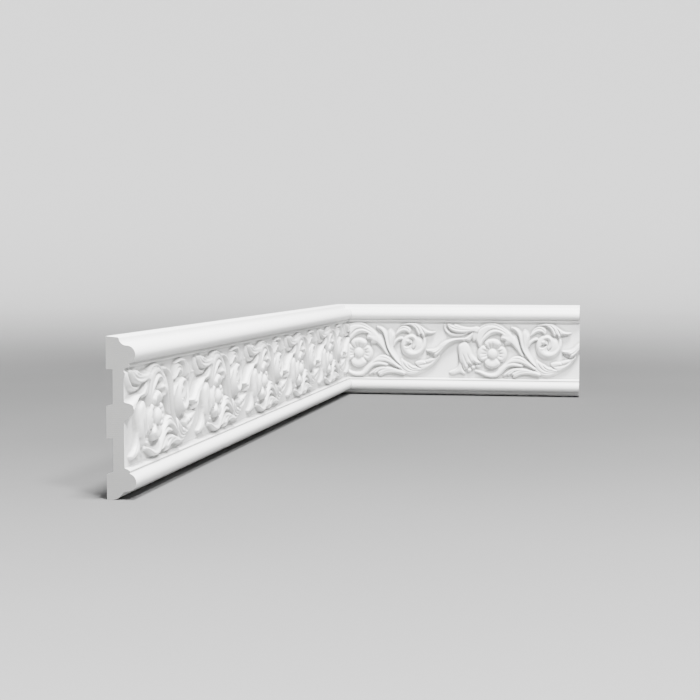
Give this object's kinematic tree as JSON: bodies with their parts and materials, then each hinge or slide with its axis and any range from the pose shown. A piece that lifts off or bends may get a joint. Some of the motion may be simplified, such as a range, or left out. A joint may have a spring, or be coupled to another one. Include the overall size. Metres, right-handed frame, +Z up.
{
  "type": "carved panel moulding corner",
  "caption": "Panel moulding for walls, carved with an acanthus and flower scroll between rounded edges, as lengths mitred for an inside corner.",
  "frame": {"origin": "foot of the inside corner: where the two back faces meet the level of the underside", "axes": "+Z up; the long length backs on to the plane X = 0 and runs along -Y, the short one backs on to the plane Y = 0 and runs along +X; the carving faces +X and -Y"},
  "size_m": [0.2685, 0.7775, 0.1],
  "materials": {
    "primed_white": "hard polyurethane foam with a smooth factory-primed white skin, matte"
  },
  "bodies": {
    "root": {"long_length": "primed_white", "short_length": "primed_white"}
  },
  "joints": []
}
